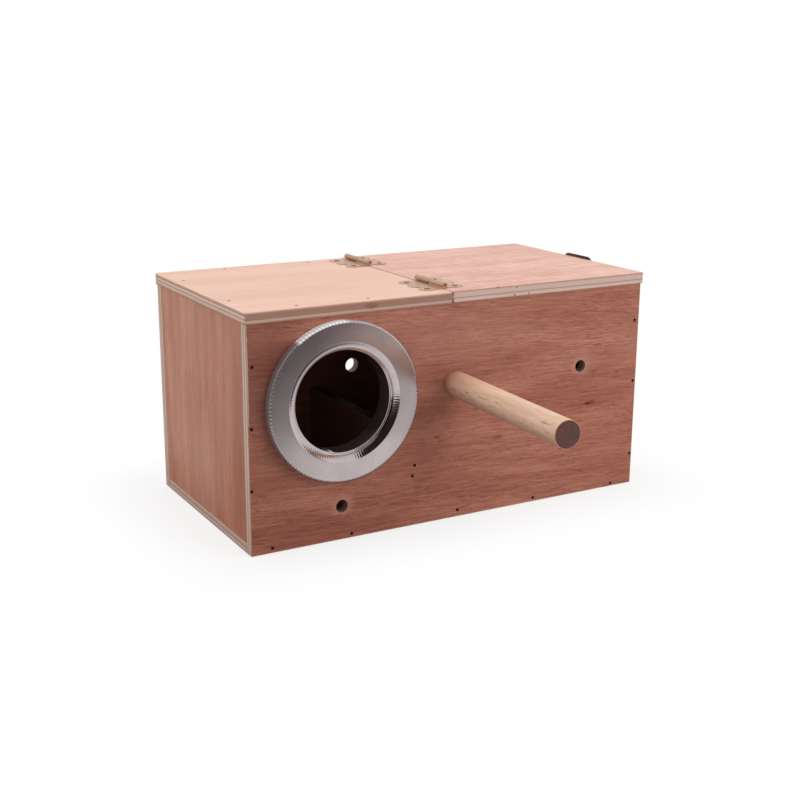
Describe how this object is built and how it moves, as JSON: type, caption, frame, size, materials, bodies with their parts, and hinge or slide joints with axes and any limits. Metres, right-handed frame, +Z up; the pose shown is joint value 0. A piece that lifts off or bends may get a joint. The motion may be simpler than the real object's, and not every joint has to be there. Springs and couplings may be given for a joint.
{
  "type": "parrot breeding box",
  "caption": "Plywood nest box with a round metal entrance ring, a dowel perch, a nailed lid, a hinged lid with butterfly hinges and an end latch.",
  "frame": {"origin": "middle of the case's footprint, on the surface that the box stands on", "axes": "+X along the front from left to right, +Y from the front to the back, +Z up"},
  "size_m": [0.2377, 0.2265, 0.1219],
  "materials": {
    "plywood": "reddish face veneer over pale cores, unfinished",
    "lid_plywood": "pale face veneer over pale cores, unfinished",
    "beech": "turned and sanded, unfinished",
    "ring_metal": "turned, satin face and polished edges",
    "hinge_metal": "antique, dull",
    "latch_metal": "antique, dark",
    "wire_metal": "antique, dark wire",
    "nail_steel": "dark heads, sunk",
    "screw_steel": "bronzed"
  },
  "bodies": {
    "box": {"front_panel": "plywood", "back_panel": "plywood", "left_side_panel": "plywood", "right_side_panel": "plywood", "floor_panel": "plywood", "nest_board": "plywood", "fixed_lid": "lid_plywood", "entrance_ring": "ring_metal", "ring_collar": "ring_metal", "perch": "beech", "perch_screw": "screw_steel", "front_nails": "nail_steel", "back_nails": "nail_steel", "lid_nails": "nail_steel", "fixed_hinge_screws": "screw_steel", "front_hinge_fixed_leaf": "hinge_metal", "front_hinge_pin": "wire_metal", "rear_hinge_fixed_leaf": "hinge_metal", "rear_hinge_pin": "wire_metal", "latch_base_plate": "latch_metal", "latch_base_nails": "nail_steel", "latch_pin": "wire_metal"},
    "lid": {"hinged_lid": "lid_plywood", "lid_hinge_screws": "screw_steel", "front_hinge_lid_leaf": "hinge_metal", "rear_hinge_lid_leaf": "hinge_metal", "latch_catch_plate": "latch_metal", "latch_catch_nails": "nail_steel"},
    "lever": {"latch_lever": "latch_metal"},
    "loop": {"latch_loop": "wire_metal"}
  },
  "joints": [
    {"name": "lid_hinge", "type": "hinge", "parent": "box", "child": "lid", "pos_m": [-0.004, 0, 0.12055], "axis": [0, -1, 0], "range_deg": [0, 180]},
    {"name": "latch_lever_turn", "type": "hinge", "parent": "box", "child": "lever", "pos_m": [0.1185, -0.002, 0.091], "axis": [0, 1, 0], "range_deg": [-178, 0]},
    {"name": "latch_loop_swing", "type": "hinge", "parent": "lever", "child": "loop", "pos_m": [0.1177, -0.002, 0.0865], "axis": [0, -1, 0], "range_deg": [0, 179]}
  ]
}
